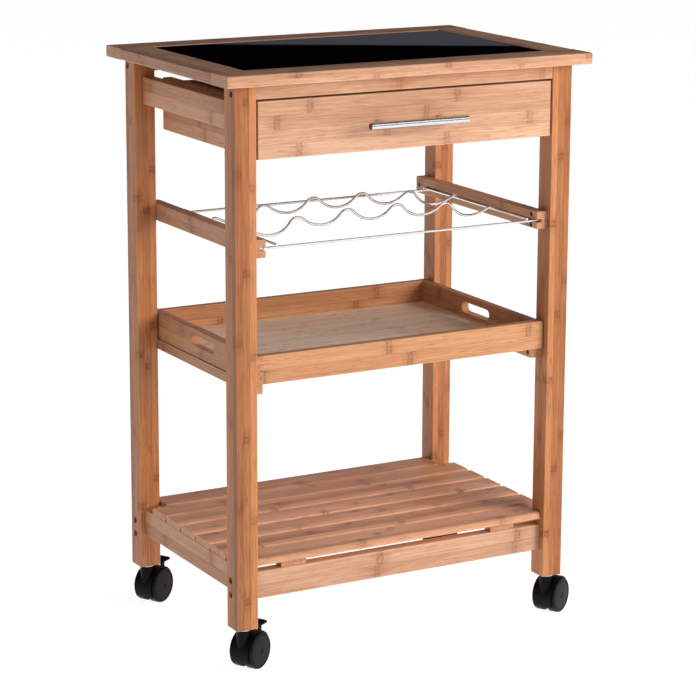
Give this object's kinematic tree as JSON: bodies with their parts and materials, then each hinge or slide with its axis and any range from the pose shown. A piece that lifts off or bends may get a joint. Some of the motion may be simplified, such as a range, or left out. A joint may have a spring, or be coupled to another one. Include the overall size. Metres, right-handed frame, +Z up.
{
  "type": "kitchen trolley",
  "caption": "Bamboo kitchen island cart on swivel casters with a glass-covered worktop, a drawer, a wire bottle rack, a lift-out tray and a slatted bottom shelf.",
  "frame": {"origin": "on the floor, under the middle of the overall width and depth, the handle and the casters included", "axes": "+Z up, -Y to the front, where the drawer opens, and +X to the right as seen from the front"},
  "size_m": [0.5805, 0.4061, 0.832],
  "materials": {
    "bamboo_leg": "satin lacquered bamboo, caramel, strips upright",
    "bamboo_rail": "satin lacquered bamboo, caramel, strips along each rail",
    "bamboo_front": "satin lacquered bamboo, light caramel, with node marks",
    "bamboo_top": "satin lacquered bamboo, caramel brown",
    "bamboo_slat": "satin lacquered bamboo, pinkish brown",
    "bamboo_tray": "satin lacquered bamboo, caramel",
    "bamboo_tray_floor": "thin bamboo board, fine grey-brown streaks",
    "plain_board": "thin plywood board",
    "dowel_wood": "fluteless beech dowel",
    "black_glass": "glossy, black behind",
    "handle_steel": "polished along its length",
    "chrome_wire": "bright chrome plate",
    "black_plastic": "moulded nylon, soft sheen",
    "wheel_plastic": "moulded nylon, soft sheen",
    "zinc_steel": "bright zinc plate",
    "dark_steel": "black oxide"
  },
  "bodies": {
    "frame": {"barrel_nuts": "zinc_steel", "caster_stems": "zinc_steel", "drawer_runner_left": "bamboo_rail", "drawer_runner_right": "bamboo_rail", "frame_bolts": "dark_steel", "frame_dowels": "dowel_wood", "glass_top": "black_glass", "leg_back_left": "bamboo_leg", "leg_back_right": "bamboo_leg", "leg_front_left": "bamboo_leg", "leg_front_right": "bamboo_leg", "rack_rail_left": "bamboo_rail", "rack_rail_right": "bamboo_rail", "shelf_battens": "bamboo_rail", "shelf_rail_back": "bamboo_rail", "shelf_rail_front": "bamboo_rail", "shelf_slats": "bamboo_slat", "side_rail_lower_left": "bamboo_rail", "side_rail_lower_right": "bamboo_rail", "side_rail_upper_left": "bamboo_rail", "side_rail_upper_right": "bamboo_rail", "top_frame_back": "bamboo_top", "top_frame_front": "bamboo_top", "top_frame_left": "bamboo_top", "top_frame_right": "bamboo_top", "top_panel": "plain_board", "top_rail_back": "bamboo_rail", "top_rail_front": "bamboo_rail", "tray_rails": "bamboo_rail", "wood_screws": "dark_steel"},
    "drawer": {"drawer_front": "bamboo_front", "drawer_side_left": "bamboo_rail", "drawer_side_right": "bamboo_rail", "drawer_back": "bamboo_rail", "drawer_floor": "plain_board", "drawer_handle": "handle_steel", "handle_screws": "zinc_steel", "drawer_dowels": "dowel_wood"},
    "bottle_rack": {"rack_frame_wires": "chrome_wire", "rack_wave_front": "chrome_wire", "rack_wave_back": "chrome_wire"},
    "tray": {"tray_wall_front": "bamboo_tray", "tray_wall_back": "bamboo_tray", "tray_wall_left": "bamboo_tray", "tray_wall_right": "bamboo_tray", "tray_floor": "bamboo_tray_floor"},
    "caster_front_left": {"caster_hood_front_left": "black_plastic", "caster_axle_front_left": "zinc_steel"},
    "wheels_front_left": {"caster_wheels_front_left": "wheel_plastic"},
    "brake_front_left": {"brake_lever_front_left": "black_plastic"},
    "caster_front_right": {"caster_hood_front_right": "black_plastic", "caster_axle_front_right": "zinc_steel"},
    "wheels_front_right": {"caster_wheels_front_right": "wheel_plastic"},
    "caster_back_left": {"caster_hood_back_left": "black_plastic", "caster_axle_back_left": "zinc_steel"},
    "wheels_back_left": {"caster_wheels_back_left": "wheel_plastic"},
    "brake_back_left": {"brake_lever_back_left": "black_plastic"},
    "caster_back_right": {"caster_hood_back_right": "black_plastic", "caster_axle_back_right": "zinc_steel"},
    "wheels_back_right": {"caster_wheels_back_right": "wheel_plastic"}
  },
  "joints": [
    {"name": "drawer_slide", "type": "slide", "parent": "frame", "child": "drawer", "axis": [0, -1, 0], "range_m": [0, 0.24]},
    {"name": "rack_slide", "type": "slide", "parent": "frame", "child": "bottle_rack", "axis": [0, -1, 0], "range_m": [0, 0.27]},
    {"name": "tray_slide", "type": "slide", "parent": "frame", "child": "tray", "axis": [0, -1, 0], "range_m": [0, 0.3]},
    {"name": "swivel_front_left", "type": "hinge", "parent": "frame", "child": "caster_front_left", "pos_m": [-0.2555, -0.1535, 0.06], "axis": [0, 0, 1], "continuous": true},
    {"name": "roll_front_left", "type": "hinge", "parent": "caster_front_left", "child": "wheels_front_left", "pos_m": [-0.23991, -0.1445, 0.026], "axis": [-0.5, 0.866, 0], "continuous": true},
    {"name": "brake_press_front_left", "type": "hinge", "parent": "caster_front_left", "child": "brake_front_left", "pos_m": [-0.23039, -0.139, 0.0552], "axis": [-0.5, 0.866, 0], "range_deg": [0, 12]},
    {"name": "swivel_front_right", "type": "hinge", "parent": "frame", "child": "caster_front_right", "pos_m": [0.2425, -0.1535, 0.06], "axis": [0, 0, 1], "continuous": true},
    {"name": "roll_front_right", "type": "hinge", "parent": "caster_front_right", "child": "wheels_front_right", "pos_m": [0.25809, -0.1445, 0.026], "axis": [-0.5, 0.866, 0], "continuous": true},
    {"name": "swivel_back_left", "type": "hinge", "parent": "frame", "child": "caster_back_left", "pos_m": [-0.2555, 0.1655, 0.06], "axis": [0, 0, 1], "continuous": true},
    {"name": "roll_back_left", "type": "hinge", "parent": "caster_back_left", "child": "wheels_back_left", "pos_m": [-0.23991, 0.1745, 0.026], "axis": [-0.5, 0.866, 0], "continuous": true},
    {"name": "brake_press_back_left", "type": "hinge", "parent": "caster_back_left", "child": "brake_back_left", "pos_m": [-0.23039, 0.18, 0.0552], "axis": [-0.5, 0.866, 0], "range_deg": [0, 12]},
    {"name": "swivel_back_right", "type": "hinge", "parent": "frame", "child": "caster_back_right", "pos_m": [0.2425, 0.1655, 0.06], "axis": [0, 0, 1], "continuous": true},
    {"name": "roll_back_right", "type": "hinge", "parent": "caster_back_right", "child": "wheels_back_right", "pos_m": [0.25809, 0.1745, 0.026], "axis": [-0.5, 0.866, 0], "continuous": true}
  ]
}
